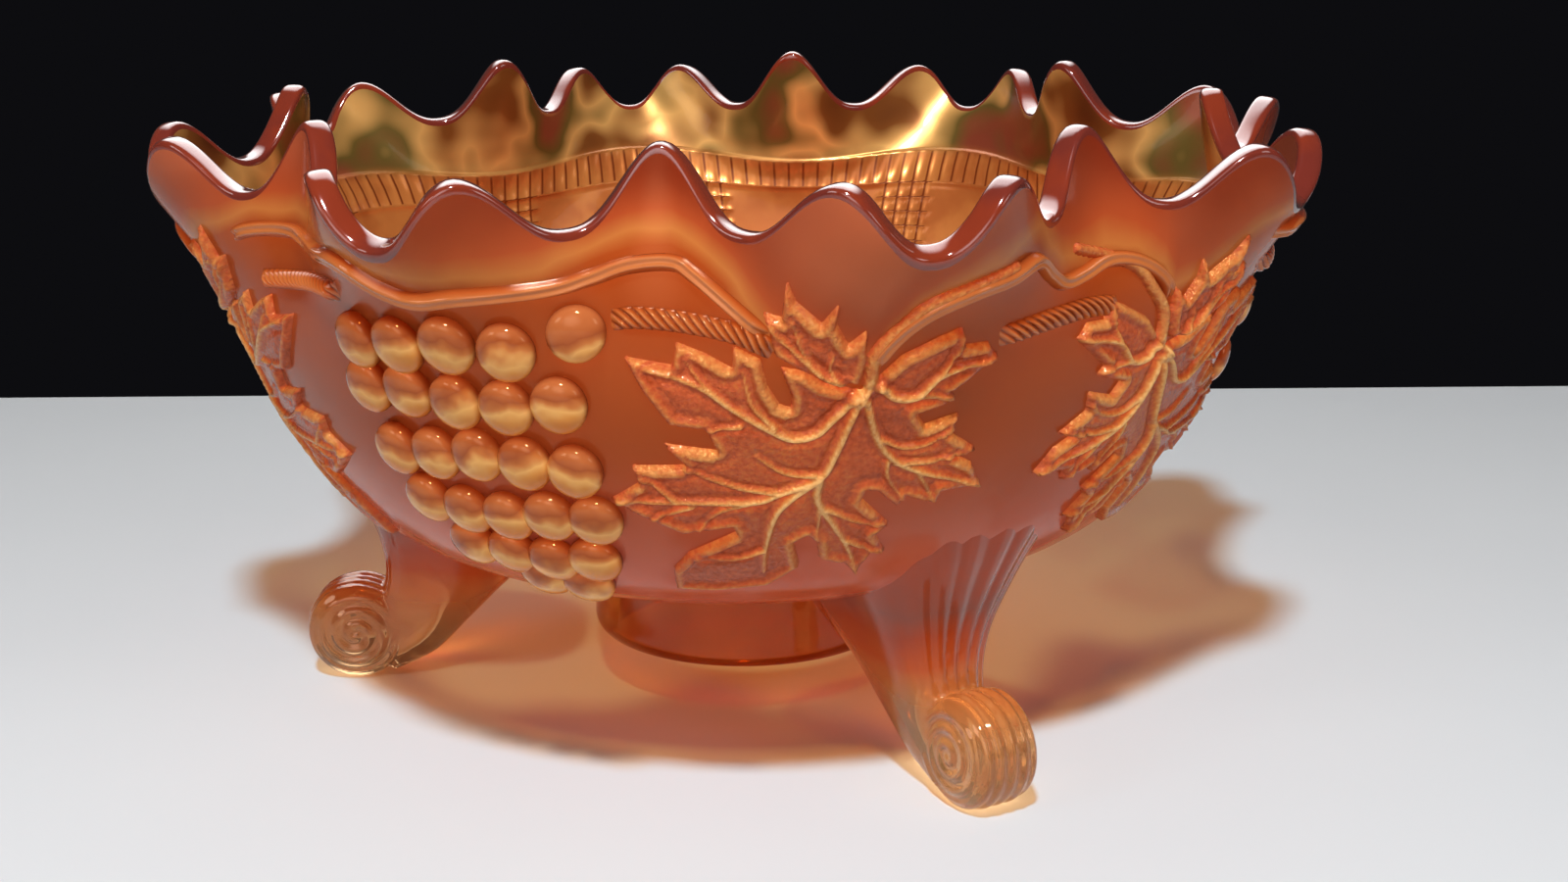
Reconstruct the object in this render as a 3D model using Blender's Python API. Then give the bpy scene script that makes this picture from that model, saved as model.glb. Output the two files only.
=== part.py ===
"""A large ruffled bowl of pressed, iridised glass on three scroll feet.

Frame: metres, +Z up, origin on the table under the bowl's axis, front towards -Y.
Angles are degrees around +Z, from the front (-Y) towards +X. A place on the wall is
given by its angle and by its distance in millimetres up the outer wall, measured
along the wall's curve from the edge of the flat underside.
"""
import math

import bmesh
import bpy
from mathutils import Vector

# ---- driving dimensions, in millimetres and degrees ----
MM = 0.001
WALL_THICKNESS = 5.5
FLOOR_HEIGHT = 35.5
COLLAR_RADIUS = 38.5
COLLAR_BOTTOM = 13.2
COLLAR_THICKNESS = 5.5
COLLAR_FLARE = 1              # the ring widens by this where it meets the floor
COLLAR_DRAFT = 2              # its inside narrows by this towards the floor
COLLAR_EDGE = 2               # height of the rounded lower edge
COLLAR_ROUND = 1.5            # width of the rounding on each side of it
COLLAR_SIDES = 48
GAP = 0.35

# Outer wall: (radius, height) from the edge of the underside up to the rim.
WALL_KNOTS = [(COLLAR_RADIUS, FLOOR_HEIGHT), (50, 36.8), (62, 39.2), (74, 42.5), (85, 46.8),
              (93, 52), (99.5, 59), (105, 67), (110.5, 77), (115, 88), (119.5, 101),
              (122.8, 115), (125, 130), (126.5, 150)]
RUFFLES = 8
SCALLOPS_PER_RUFFLE = 3
RUFFLE_ANGLE = -6.75          # one inward fold, with its tall scallop, is here
RUFFLE_START = 88             # height where the wall begins to fold in and out
RUFFLE_FULL = 150
RUFFLE_DEPTH = 13
RUFFLE_LATENESS = 1.2         # above 1, the folding comes on later up the wall
FLARE_DEPTH = 4               # the outward folds lean out this much further
FLARE_START = 110
FLARE_FULL = 134
CREST_HEIGHT = 143.2
CREST_SWING = 3.8             # tall scallops on the inward folds, low ones between
VALLEY_HEIGHT = 130.2
VALLEY_SWING = 2.5
SCALLOP_SHARPNESS = 1.25
RIM_ROUND = 1.2
# Distances up the wall of the shell's rings of points; two more follow the rim.
SHELL_ROWS = (0.05, 18, 34, 44, 52, 60, 70, 84, 97, 109, 119, 127, 133, 138)
COLUMNS_PER_SCALLOP = 4

# The moulded pattern repeats three times around the wall.
SECTIONS = {"front": 0, "right": 120, "rear": 240}
FEET = {"front": 31.5, "rear": 151.5, "left": 271.5}
BUNCH_ANGLE = -26
# Rows of grapes: (distance up the wall, angle of the right-hand grape, number).
GRAPE_ROWS = [(121.5, 5.8, 4), (110, 9.8, 5), (96.5, 10.2, 5), (83.5, 11.3, 5),
              (72, 9.7, 4), (63, 8, 2)]
GRAPE_PITCH = 5.3
GRAPE_HALF_WIDTH = 6.0
GRAPE_HALF_HEIGHT = 7.2
GRAPE_STANDS = 4.6
GRAPE_BASE = 0.85             # lift of a bunched grape's flat back, inside the pad
GRAPE_SHOULDER = 0.8          # share of a grape's width at its second ring of points
GRAPE_SIDES = 9
PAD_LIFT = 1.6
PAD_MARGIN = 1.2              # degrees the pad runs past the middle of a row's end grapes
PAD_END = 5                   # millimetres it runs past the first and last rows
PAD_TIP = 1                   # degrees the pad's lower end leans to the left
PAD_COLUMNS = 6
LONE_GRAPE = (-14, 126.3)
LONE_GRAPE_RADIUS = 6

LEAF_BASE = 0.6
LEAF_LIFT = 1.9
LEAF_GRID = 11
LEAF_FOOT = 116.3             # distance up the wall of the point where the stalk joins
LEAF_RIGHT_OF_BUNCH = 12.2    # angle of that point
LEAF_LEFT_OF_FOOT = 47        # the mirrored leaf beyond the foot
# Vine leaf with its small upper leaflet, in millimetres from the stalk's joint:
# x around the wall to the right, y up the wall.
LEAF_OUTLINE = [(-1, -2.5), (-8.5, -0.5), (-13, 1.5), (-14, -6), (-16.5, -5), (-20.5, 4.5),
                (-25.5, 7), (-25.5, 2.5), (-36.5, 7.5), (-37, 3), (-46.5, 4.5), (-42.5, -2.5),
                (-37, -9.5), (-30, -10.5), (-27.5, -15.5), (-38, -14), (-33.5, -19),
                (-44, -19.5), (-42, -24), (-46, -28), (-33, -36.5), (-23.5, -34.5),
                (-31.5, -43), (-33, -55), (-14.5, -53.5), (-9, -47), (-11, -39.5),
                (-8.5, -37.5), (-5, -45), (3, -51), (8.5, -44.5), (8, -36), (1.5, -28.5),
                (2, -26), (9, -31), (17.5, -31.5), (27, -28), (20, -19.5), (24.5, -18.5),
                (19.5, -9.5), (12.5, -11.5), (10.5, -8.5), (18.5, -6), (26, 3), (18.5, 6),
                (17, 10), (6, 5), (2.5, 1), (-1, 5), (-1.5, 10.5), (-4.5, 7.5), (-7, 16),
                (-9.5, 12), (-16, 20), (-16.5, 13), (-20, 14), (-17.5, 5.5), (-14, 3.5),
                (-4.5, 0.4)]

VINE_WIDTH = 3.2
VINE_LIFT = 2.2
# The vine runs in two lengths for each third of the bowl: (angle, distance up the wall).
VINE_OVER_FOOT = [(14.2, 124.5), (17.3, 131.6), (20.6, 134.3), (23.7, 135.5), (27.3, 137.6),
                  (30, 134), (32.3, 131.4), (35.4, 132), (39.2, 134), (42.4, 132.6)]
VINE_OVER_BUNCH = [(-57.5, 137.5), (-52, 137.6), (-46, 137.2), (-39, 138), (-34.2, 138),
                   (-30, 133.4), (-27, 131.6), (-23.2, 132.7), (-16.2, 134.2),
                   (-12.9, 135.8), (-9.5, 137.6), (-5.6, 138), (-3.2, 136), (-0.2, 131.2)]
STEM_WIDTH = 3.6
STEM_LIFT = 2.4
# Twisted stems: from the lone grape to its leaf, over the foot, and beyond the mirrored leaf.
STEMS = {"by_grape": [(-9.6, 127.8), (-6.4, 128), (-3, 127.4), (0.8, 126.2)],
         "over_foot": [(26.6, 123.2), (30, 124.2), (33.5, 125)],
         "by_leaf": [(-56.5, 127.6), (-50, 129), (-44.5, 129.2)]}

# Scroll foot, in its own upright plane: (inner radius, height, outer radius, height, half width).
LEG_STATIONS = [(44, 42, 101, 62, 22), (52, 33, 95, 49, 18.5), (61, 24, 92, 37, 13.5),
                (70.5, 14.5, 91, 28, 10.5), (80, 5.6, 94, 20, 8.6), (91, 1.6, 97, 12, 7.3)]
LEG_SIDES = 14
LEG_SQUARENESS = 0.7          # 1 gives an oval section, less a squarer one
SCROLL_CENTRE = (98.5, 12.4)
# Half of the scroll's section: (distance from its axis, half width there).
SCROLL_SECTION = [(3.2, 8.6), (4.2, 7.4), (10.4, 7.4), (12.3, 5.4), (13, 2)]
SCROLL_SIDES = 20
CLEARANCE_SIDES = 96
CLEARANCE_TOP = 130
CLEARANCE_STEP = 6
CLEARANCE_REACH = 96          # it follows the wall this far up from the underside's edge

GLASS = {"amber": (0.86, 0.36, 0.10, 1), "marigold": (0.72, 0.24, 0.08, 1),
         "gold": (0.85, 0.52, 0.20, 1), "peach": (0.90, 0.55, 0.28, 1)}


def clear_scene():
    for old in list(bpy.data.objects):
        bpy.data.objects.remove(old, do_unlink=True)


def glass(name, colour, roughness):
    material = bpy.data.materials.new(name)
    material.use_nodes = True
    shader = material.node_tree.nodes["Principled BSDF"]
    shader.inputs["Base Color"].default_value = GLASS[colour]
    shader.inputs["Roughness"].default_value = roughness
    shader.inputs["Metallic"].default_value = 0.0
    shader.inputs["Transmission Weight"].default_value = 0.3
    return material


def new_object(name, verts, faces, colour, roughness=0.12, sharp=40):
    """Make an object from points in metres and faces, with its own material."""
    mesh = bpy.data.meshes.new(name)
    mesh.from_pydata([tuple(v) for v in verts], [], faces)
    mesh.validate()
    tidy = bmesh.new()
    tidy.from_mesh(mesh)
    bmesh.ops.recalc_face_normals(tidy, faces=tidy.faces)
    tidy.to_mesh(mesh)
    tidy.free()
    mesh.shade_smooth()
    mesh.set_sharp_from_angle(angle=math.radians(sharp))
    mesh.materials.append(glass(name + "_glass", colour, roughness))
    obj = bpy.data.objects.new(name, mesh)
    bpy.context.scene.collection.objects.link(obj)
    return obj


def boolean(target, cutter, operation):
    """Apply a Boolean and remove the cutter."""
    modifier = target.modifiers.new(operation.lower(), "BOOLEAN")
    modifier.operation = operation
    modifier.object = cutter
    bpy.context.view_layer.update()
    evaluated = target.evaluated_get(bpy.context.evaluated_depsgraph_get())
    result = bpy.data.meshes.new_from_object(evaluated)
    target.modifiers.clear()
    target.data = result
    bpy.data.objects.remove(cutter, do_unlink=True)


# ---- the wall's surface ----
def smooth_curve(knots, steps):
    """Points along a Catmull-Rom curve through 2-D or 3-D knots."""
    points = [Vector(k) for k in knots]
    padded = [2 * points[0] - points[1]] + points + [2 * points[-1] - points[-2]]
    curve = []
    for a, b, c, d in zip(padded, padded[1:], padded[2:], padded[3:]):
        for step in range(steps):
            t = step / steps
            curve.append(0.5 * (2 * b + (c - a) * t + (2 * a - 5 * b + 4 * c - d) * t ** 2
                                + (3 * b - a - 3 * c + d) * t ** 3))
    curve.append(points[-1])
    return curve


PROFILE = smooth_curve(WALL_KNOTS, 24)
ARC = [0.0]
for start, end in zip(PROFILE, PROFILE[1:]):
    ARC.append(ARC[-1] + (end - start).length)


def profile_at(distance):
    """Radius and height of the unruffled outer wall at a distance up its curve."""
    index = 1
    while index < len(ARC) - 1 and ARC[index] < distance:
        index += 1
    t = (distance - ARC[index - 1]) / (ARC[index] - ARC[index - 1])
    point = PROFILE[index - 1].lerp(PROFILE[index], t)
    return point.x, point.y


def distance_at_height(height):
    for index in range(1, len(PROFILE)):
        if PROFILE[index].y >= height:
            low = PROFILE[index - 1].y
            t = (height - low) / (PROFILE[index].y - low)
            return ARC[index - 1] + t * (ARC[index] - ARC[index - 1])
    return ARC[-1]


def ease(value, low, high):
    """A smooth step from 0 at low to 1 at high."""
    t = min(1.0, max(0.0, (value - low) / (high - low)))
    return t * t * (3 - 2 * t)


def ruffled_radius(angle, radius, height):
    """Radius of the folded wall where the plain wall has the given radius and height."""
    inward = math.cos(math.radians(RUFFLES * (angle - RUFFLE_ANGLE)))
    fold = RUFFLE_DEPTH * ease(height, RUFFLE_START, RUFFLE_FULL) ** RUFFLE_LATENESS
    flare = FLARE_DEPTH * ease(height, FLARE_START, FLARE_FULL)
    return radius - fold * inward + flare * (1 - inward) / 2


def rim_height(angle):
    phase = math.radians(RUFFLES * (angle - RUFFLE_ANGLE))
    crest = CREST_HEIGHT + CREST_SWING * math.cos(phase)
    valley = VALLEY_HEIGHT + VALLEY_SWING * math.cos(phase)
    wave = (1 + math.cos(SCALLOPS_PER_RUFFLE * phase)) / 2
    return valley + (crest - valley) * wave ** SCALLOP_SHARPNESS


def around(angle, radius, height, sideways=0.0):
    """A point in metres from an angle, radius, height and sideways shift in millimetres."""
    a = math.radians(angle)
    x = radius * math.sin(a) + sideways * math.cos(a)
    y = -radius * math.cos(a) + sideways * math.sin(a)
    return Vector((x, y, height)) * MM


def on_surface(angle, distance):
    radius, height = profile_at(distance)
    return around(angle, ruffled_radius(angle, radius, height), height)


def on_wall(angle, distance, lift):
    """A point lifted off the outer wall along its normal; a negative lift is inside."""
    step = 0.1
    across = on_surface(angle + step, distance) - on_surface(angle - step, distance)
    upward = on_surface(angle, distance + step) - on_surface(angle, distance - step)
    return on_surface(angle, distance) + across.cross(upward).normalized() * lift * MM


# ---- bowl shell ----
def shell_column(angle):
    """The wall's section at an angle, from the underside over the rim to the floor."""
    rim = distance_at_height(rim_height(angle))
    rows = list(SHELL_ROWS)
    top = rim - RIM_ROUND
    rows += [rows[-1] + (top - rows[-1]) * share for share in (0.5, 1)]
    column = [on_wall(angle, row, 0) for row in rows]
    column.append(on_wall(angle, rim, -RIM_ROUND))
    column.append(on_wall(angle, rim, RIM_ROUND - WALL_THICKNESS))
    inside = rows[::-2] + rows[:1]
    return column + [on_wall(angle, row, -WALL_THICKNESS) for row in inside]


def bowl_shell():
    columns = RUFFLES * SCALLOPS_PER_RUFFLE * COLUMNS_PER_SCALLOP
    sections = [shell_column(RUFFLE_ANGLE + 360 * i / columns) for i in range(columns)]
    rings = len(sections[0])
    verts = [point for section in sections for point in section]
    faces = []
    for i in range(columns):
        j = (i + 1) % columns
        for k in range(rings - 1):
            faces.append((i * rings + k, j * rings + k, j * rings + k + 1, i * rings + k + 1))
    below = len(verts)
    verts.append(Vector((0, 0, FLOOR_HEIGHT)) * MM)
    verts.append(Vector((0, 0, FLOOR_HEIGHT + WALL_THICKNESS)) * MM)
    for i in range(columns):
        j = (i + 1) % columns
        faces.append((j * rings, i * rings, below))
        faces.append((i * rings + rings - 1, j * rings + rings - 1, below + 1))
    return new_object("bowl_shell", verts, faces, "marigold")


def turned(name, section, sides, colour):
    """A closed ring turned about Z from a closed (radius, height) section."""
    count = len(section)
    verts = [around(360 * i / sides, r, z) for i in range(sides) for r, z in section]
    faces = []
    for i in range(sides):
        j = (i + 1) % sides
        for k in range(count):
            m = (k + 1) % count
            faces.append((i * count + k, j * count + k, j * count + m, i * count + m))
    return new_object(name, verts, faces, colour)


def collar_base():
    """The hollow ring under the floor, with a rounded lower edge."""
    top = FLOOR_HEIGHT - GAP
    outer = COLLAR_RADIUS
    inner = COLLAR_RADIUS - COLLAR_THICKNESS
    edge = COLLAR_BOTTOM + COLLAR_EDGE
    section = [(outer + COLLAR_FLARE, top), (outer, edge),
               (outer - COLLAR_ROUND, COLLAR_BOTTOM), (inner + COLLAR_ROUND, COLLAR_BOTTOM),
               (inner, edge), (inner - COLLAR_DRAFT, top)]
    return turned("collar_base", section, COLLAR_SIDES, "amber")


# ---- moulded relief on the wall ----
def plate(name, flat, faces, place, base, lift, colour):
    """Thicken a flat mesh between a base and a lift off the wall; place maps its points."""
    count = len(flat)
    verts = [place(point, lift) for point in flat] + [place(point, base) for point in flat]
    solid = [tuple(face) for face in faces]
    solid += [tuple(index + count for index in reversed(face)) for face in faces]
    edges = {}
    for face in faces:
        for a, b in zip(face, face[1:] + face[:1]):
            edges[(a, b)] = True
    for a, b in edges:
        if (b, a) not in edges:
            solid.append((b, a, a + count, b + count))
    return new_object(name, verts, solid, colour)


def gridded_outline(outline, grid):
    """Fill an outline and cut it along grid lines, so that it can bend with the wall."""
    flat = bmesh.new()
    flat.faces.new([flat.verts.new((x, y, 0)) for x, y in outline]).normal_update()
    for axis in (0, 1):
        low = min(point[axis] for point in outline)
        high = max(point[axis] for point in outline)
        for step in range(math.ceil(low / grid), math.floor(high / grid) + 1):
            normal = (1, 0, 0) if axis == 0 else (0, 1, 0)
            cut = tuple(step * grid * n for n in normal)
            geometry = flat.verts[:] + flat.edges[:] + flat.faces[:]
            bmesh.ops.bisect_plane(flat, geom=geometry, plane_co=cut, plane_no=normal,
                                   dist=0.05)
    bmesh.ops.triangulate(flat, faces=flat.faces, quad_method="BEAUTY", ngon_method="BEAUTY")
    flat.verts.index_update()
    points = [(v.co.x, v.co.y) for v in flat.verts]
    faces = [[v.index for v in face.verts] for face in flat.faces]
    flat.free()
    return points, faces


def leaf(name, angle, mirror):
    """A vine leaf laid on the wall; mirror is 1 or -1."""
    points, faces = gridded_outline(LEAF_OUTLINE, LEAF_GRID)

    def place(point, lift):
        distance = LEAF_FOOT + point[1]
        radius = profile_at(distance)[0]
        return on_wall(angle + mirror * math.degrees(point[0] / radius), distance, lift)

    return plate(name, points, faces, place, LEAF_BASE, LEAF_LIFT, "gold")


def band(name, path, width, lift, colour):
    """A raised band with a rounded top along a path of (angle, distance) on the wall."""
    route = smooth_curve(path, 2)
    section = [(-0.5, GAP), (-0.5, 0.55 * lift), (-0.25, lift), (0.25, lift),
               (0.5, 0.55 * lift), (0.5, GAP)]
    count = len(section)
    verts = []
    for index, point in enumerate(route):
        before = route[max(index - 1, 0)]
        after = route[min(index + 1, len(route) - 1)]
        radius = profile_at(point.y)[0]
        run = Vector((math.radians(after.x - before.x) * radius, after.y - before.y))
        side = Vector((-run.y, run.x)).normalized() * width
        for across, height in section:
            angle = point.x + math.degrees(side.x * across / radius)
            verts.append(on_wall(angle, point.y + side.y * across, height))
    faces = [tuple(range(count)), tuple(range(len(verts) - count, len(verts)))]
    for index in range(len(route) - 1):
        for k in range(count):
            m = (k + 1) % count
            here = index * count
            faces.append((here + k, here + m, here + count + m, here + count + k))
    return new_object(name, verts, faces, colour)


def dome(name, angle, distance, half_width, half_height, stands, base):
    """One grape: half an oval ball standing on the wall, on a base lift."""
    sides = GRAPE_SIDES
    radius = profile_at(distance)[0]
    verts = [on_wall(angle, distance, base)]
    for share in (1, GRAPE_SHOULDER):
        height = base + stands * math.sqrt(1 - share ** 2)
        for i in range(sides):
            a = 2 * math.pi * i / sides
            turn = math.degrees(half_width * share * math.cos(a) / radius)
            up = half_height * share * math.sin(a)
            verts.append(on_wall(angle + turn, distance + up, height))
    verts.append(on_wall(angle, distance, base + stands))
    faces = []
    for i in range(sides):
        j = (i + 1) % sides
        faces.append((0, 1 + j, 1 + i))
        faces.append((1 + i, 1 + j, 1 + sides + j, 1 + sides + i))
        faces.append((1 + sides + i, 1 + sides + j, len(verts) - 1))
    return new_object(name, verts, faces, "peach")


def bunch_pad(name, angle):
    """The thin sheet of glass that joins the grapes of a bunch."""
    columns = PAD_COLUMNS
    flat = []
    top_distance, top_right, top_number = GRAPE_ROWS[0]
    tip_distance, tip_right, _ = GRAPE_ROWS[-1]
    stations = [(top_distance + PAD_END, top_right, top_number)] + GRAPE_ROWS
    stations.append((tip_distance - PAD_END, tip_right - PAD_TIP, 1))
    for distance, right, number in stations:
        high = angle + right + PAD_MARGIN
        low = angle + right - GRAPE_PITCH * (number - 1) - PAD_MARGIN
        flat += [(low + (high - low) * k / columns, distance) for k in range(columns + 1)]
    wide = columns + 1
    faces = []
    for row in range(len(stations) - 1):
        for k in range(columns):
            corner = row * wide + k
            faces.append([corner, corner + wide, corner + wide + 1, corner + 1])
    return plate(name, flat, faces, lambda p, lift: on_wall(*p, lift), GAP, PAD_LIFT, "peach")


def grape_bunch(name, angle):
    bunch = bunch_pad(name, angle)
    for distance, right, number in GRAPE_ROWS:
        for k in range(number):
            grape = dome("grape", angle + right - GRAPE_PITCH * k, distance, GRAPE_HALF_WIDTH,
                         GRAPE_HALF_HEIGHT, GRAPE_STANDS, GRAPE_BASE)
            boolean(bunch, grape, "UNION")
    return bunch


# ---- scroll feet ----
def leg(name, angle):
    """The leg, lofted through stations from the bowl down into the scroll."""
    verts = []
    for r_in, z_in, r_out, z_out, half_width in LEG_STATIONS:
        for i in range(LEG_SIDES):
            a = 2 * math.pi * i / LEG_SIDES
            across = math.copysign(abs(math.cos(a)) ** LEG_SQUARENESS, math.cos(a))
            side = math.copysign(abs(math.sin(a)) ** LEG_SQUARENESS, math.sin(a))
            t = 0.5 + 0.5 * across
            r = r_in + (r_out - r_in) * t
            z = z_in + (z_out - z_in) * t
            verts.append(around(angle, r, z, side * half_width))
    last = len(verts) - LEG_SIDES
    faces = [tuple(range(LEG_SIDES)), tuple(range(last, last + LEG_SIDES))]
    for row in range(len(LEG_STATIONS) - 1):
        for i in range(LEG_SIDES):
            j = (i + 1) % LEG_SIDES
            low = row * LEG_SIDES
            faces.append((low + i, low + j, low + LEG_SIDES + j, low + LEG_SIDES + i))
    return new_object(name, verts, faces, "amber")


def scroll(angle):
    """The curled end of the foot: a disc turned about a level axis."""
    rings = SCROLL_SECTION + [(r, -w) for r, w in reversed(SCROLL_SECTION)]
    verts = []
    for distance, width in rings:
        for i in range(SCROLL_SIDES):
            a = 2 * math.pi * (i + 0.5) / SCROLL_SIDES
            r = SCROLL_CENTRE[0] + distance * math.cos(a)
            verts.append(around(angle, r, SCROLL_CENTRE[1] + distance * math.sin(a), width))
    last = len(verts) - SCROLL_SIDES
    faces = [tuple(range(SCROLL_SIDES)), tuple(range(last, last + SCROLL_SIDES))]
    for ring in range(len(rings) - 1):
        for i in range(SCROLL_SIDES):
            j = (i + 1) % SCROLL_SIDES
            low = ring * SCROLL_SIDES
            faces.append((low + i, low + j, low + SCROLL_SIDES + j, low + SCROLL_SIDES + i))
    return new_object("scroll", verts, faces, "amber")


def bowl_clearance():
    """A turned solid that follows the underside of the bowl with a small gap."""
    section = [(COLLAR_RADIUS, FLOOR_HEIGHT - GAP)]
    for distance in range(CLEARANCE_STEP, CLEARANCE_REACH, CLEARANCE_STEP):
        radius, height = profile_at(distance)
        ahead = profile_at(distance + 0.5)
        run = Vector((ahead[0] - radius, ahead[1] - height)).normalized()
        section.append((radius + run.y * GAP, height - run.x * GAP))
    section.append((section[-1][0], CLEARANCE_TOP))
    sides = CLEARANCE_SIDES
    verts = [around(360 * i / sides, r, z) for i in range(sides) for r, z in section]
    count = len(section)
    faces = [tuple(i * count for i in range(sides)),
             tuple(i * count + count - 1 for i in range(sides))]
    for i in range(sides):
        j = (i + 1) % sides
        for k in range(count - 1):
            faces.append((i * count + k, j * count + k, j * count + k + 1, i * count + k + 1))
    return new_object("clearance", verts, faces, "amber")


def table_cutter():
    """A block whose top is the table, which gives each foot a small flat face."""
    far = 140
    corners = [(-far, -far), (far, -far), (far, far), (-far, far)]
    verts = [Vector((x, y, z)) * MM for z in (-20, 0) for x, y in corners]
    faces = [(0, 1, 2, 3), (4, 5, 6, 7), (0, 1, 5, 4), (1, 2, 6, 5), (2, 3, 7, 6), (3, 0, 4, 7)]
    return new_object("table", verts, faces, "amber")


def scroll_foot(name, angle):
    foot = leg(name, angle)
    boolean(foot, scroll(angle), "UNION")
    boolean(foot, bowl_clearance(), "DIFFERENCE")
    boolean(foot, table_cutter(), "DIFFERENCE")
    return foot


def moulded_section(section, turn):
    """One third of the pattern: a bunch, a lone grape, two leaves, the vine and its stems."""
    grape_bunch("grape_bunch_" + section, BUNCH_ANGLE + turn)
    dome("lone_grape_" + section, LONE_GRAPE[0] + turn, LONE_GRAPE[1], LONE_GRAPE_RADIUS,
         LONE_GRAPE_RADIUS, GRAPE_STANDS, GAP)
    leaf("vine_leaf_" + section, LEAF_RIGHT_OF_BUNCH + turn, 1)
    leaf("mirrored_leaf_" + section, LEAF_LEFT_OF_FOOT + turn, -1)
    for label, path in (("over_foot", VINE_OVER_FOOT), ("over_bunch", VINE_OVER_BUNCH)):
        route = [(a + turn, s) for a, s in path]
        band("vine_" + label + "_" + section, route, VINE_WIDTH, VINE_LIFT, "gold")
    for label, path in STEMS.items():
        route = [(a + turn, s) for a, s in path]
        band("twisted_stem_" + label + "_" + section, route, STEM_WIDTH, STEM_LIFT, "gold")


clear_scene()
bowl_shell()
collar_base()
for foot_name, foot_angle in FEET.items():
    scroll_foot("scroll_foot_" + foot_name, foot_angle)
for section_name, section_turn in SECTIONS.items():
    moulded_section(section_name, section_turn)
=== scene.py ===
"""The looks of a large ruffled bowl of iridised glass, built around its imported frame.

Frame: metres, +Z up, origin on the table under the bowl's axis, front towards -Y.
Angles are degrees around +Z, from the front towards +X. Distances are millimetres up
the outer wall's curve, from the edge of the flat underside.
"""
import math

import bpy
import numpy as np
from mathutils import Euler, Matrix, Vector


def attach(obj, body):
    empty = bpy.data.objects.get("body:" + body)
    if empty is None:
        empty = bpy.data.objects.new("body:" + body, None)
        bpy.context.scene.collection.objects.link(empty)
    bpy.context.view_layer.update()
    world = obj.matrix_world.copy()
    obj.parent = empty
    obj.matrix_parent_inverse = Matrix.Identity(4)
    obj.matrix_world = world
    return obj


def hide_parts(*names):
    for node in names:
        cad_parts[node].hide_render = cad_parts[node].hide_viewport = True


# ---- the wall's driving dimensions, in millimetres and degrees, as in the CAD ----
MM = 0.001
WALL_THICKNESS = 5.5
FLOOR_HEIGHT = 35.5
COLLAR_RADIUS = 38.5
COLLAR_BOTTOM = 13.2
COLLAR_THICKNESS = 5.5
WALL_KNOTS = [(COLLAR_RADIUS, FLOOR_HEIGHT), (50, 36.8), (62, 39.2), (74, 42.5), (85, 46.8),
              (93, 52), (99.5, 59), (105, 67), (110.5, 77), (115, 88), (119.5, 101),
              (122.8, 115), (125, 130), (126.5, 150)]
RUFFLES = 8
SCALLOPS_PER_RUFFLE = 3
RUFFLE_ANGLE = -6.75
RUFFLE_START = 88
RUFFLE_FULL = 150
RUFFLE_DEPTH = 13
RUFFLE_LATENESS = 1.2
FLARE_DEPTH = 4
FLARE_START = 110
FLARE_FULL = 134
CREST_HEIGHT = 143.2
CREST_SWING = 3.8
VALLEY_HEIGHT = 130.2
VALLEY_SWING = 2.5
SCALLOP_SHARPNESS = 1.25

SECTION_TURN = 120
SECTIONS = {"front": 0, "right": SECTION_TURN, "rear": 2 * SECTION_TURN}
FOOT_ANGLE = 31.5
FEET = {"front": FOOT_ANGLE, "rear": FOOT_ANGLE + SECTION_TURN,
        "left": FOOT_ANGLE + 2 * SECTION_TURN}
COLUMNS = 720                 # points around the wall
OUTER_ROWS = 44
OUTER_START = 0.3             # the lowest row's distance up the wall
ROW_CROWDING = 0.8            # under 1, the rows lie closer together towards the rim
PLAIN_ROWS = 4                # inside, between the rim and the tiles
RIM_STEPS = 13
RIM_ROUND = 2.0               # height of the rim's rounding
RIM_SQUARENESS = 0.62         # 1 gives an oval edge, less a flatter top

# Pressed pattern inside the wall: a band of upright tiles over panels of small bricks.
BAND_TOP = 128.5
BAND_BOTTOM = 120
BRICK_HEIGHT = 4.2
BRICK_ROWS = 12
BRICKS_END = BAND_BOTTOM - BRICK_ROWS * BRICK_HEIGHT
TILE_PITCH = 2                # degrees, as are the panels' sizes
PANEL_PERIOD = 30
PANEL_MIDDLE = 7
PANEL_HALF_WIDTH = 4
PANEL_MARGIN = 0.2            # lets the joints at a panel's two sides show
UPRIGHT_JOINT = 0.5           # half widths: of an upright joint in degrees,
LEVEL_JOINT = 0.4             # and of a level joint and an edge groove in millimetres
EDGE_JOINT = 0.5
GROOVE_DEPTH = 0.38
EDGE_GROOVE = 1.3             # how many times deeper the band's edge grooves are
LEDGE_DEPTH = 0.7
LEDGE_RAMP = 2                # height over which the wall steps in at the band's top
LEDGE_END = 45                # the step ends at this distance, down by the floor
JOINT_ROW = 0.42              # from a joint's middle to the next row of points
FLOOR_ROWS = 16
INNER_START = 4               # the inside's lowest row

# ---- moulded relief ----
LEAF_FOOT = 116.3
LEAF_ANGLE = 12.2
MIRRORED_LEAF_ANGLE = 47
LEAF_STANDS = 1.25
LEAFLET_STANDS = 1.75
RELIEF_STEP = 0.42            # spacing of the points that carry the fine relief
BURIED = -0.9                 # how deep the relief's back lies in the wall
RELIEF_EDGE = -0.5            # its edges slope up from this depth,
TRIMMED_BELOW = -0.3          # and cells that are all lower than this are left out
SKIN_DEPTH = -0.4             # the rest goes no deeper than this
NO_RELIEF = -1.0              # height where there is none
LEAF_SKIRT = 0.35             # how far outside the outline the slope starts
LEAF_BEVEL = 0.6              # width of the sloping edge, and what facing up adds to it
UPWARD_BEVEL = 0.75
LIP_INSET, LIP_WIDTH, LIP_HEIGHT = 0.5, 0.7, 0.5     # the raised line along the edge
DIP_INSET, DIP_WIDTH, DIP_DEPTH = 2.2, 0.9, 0.35     # and the hollow inside it
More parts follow.
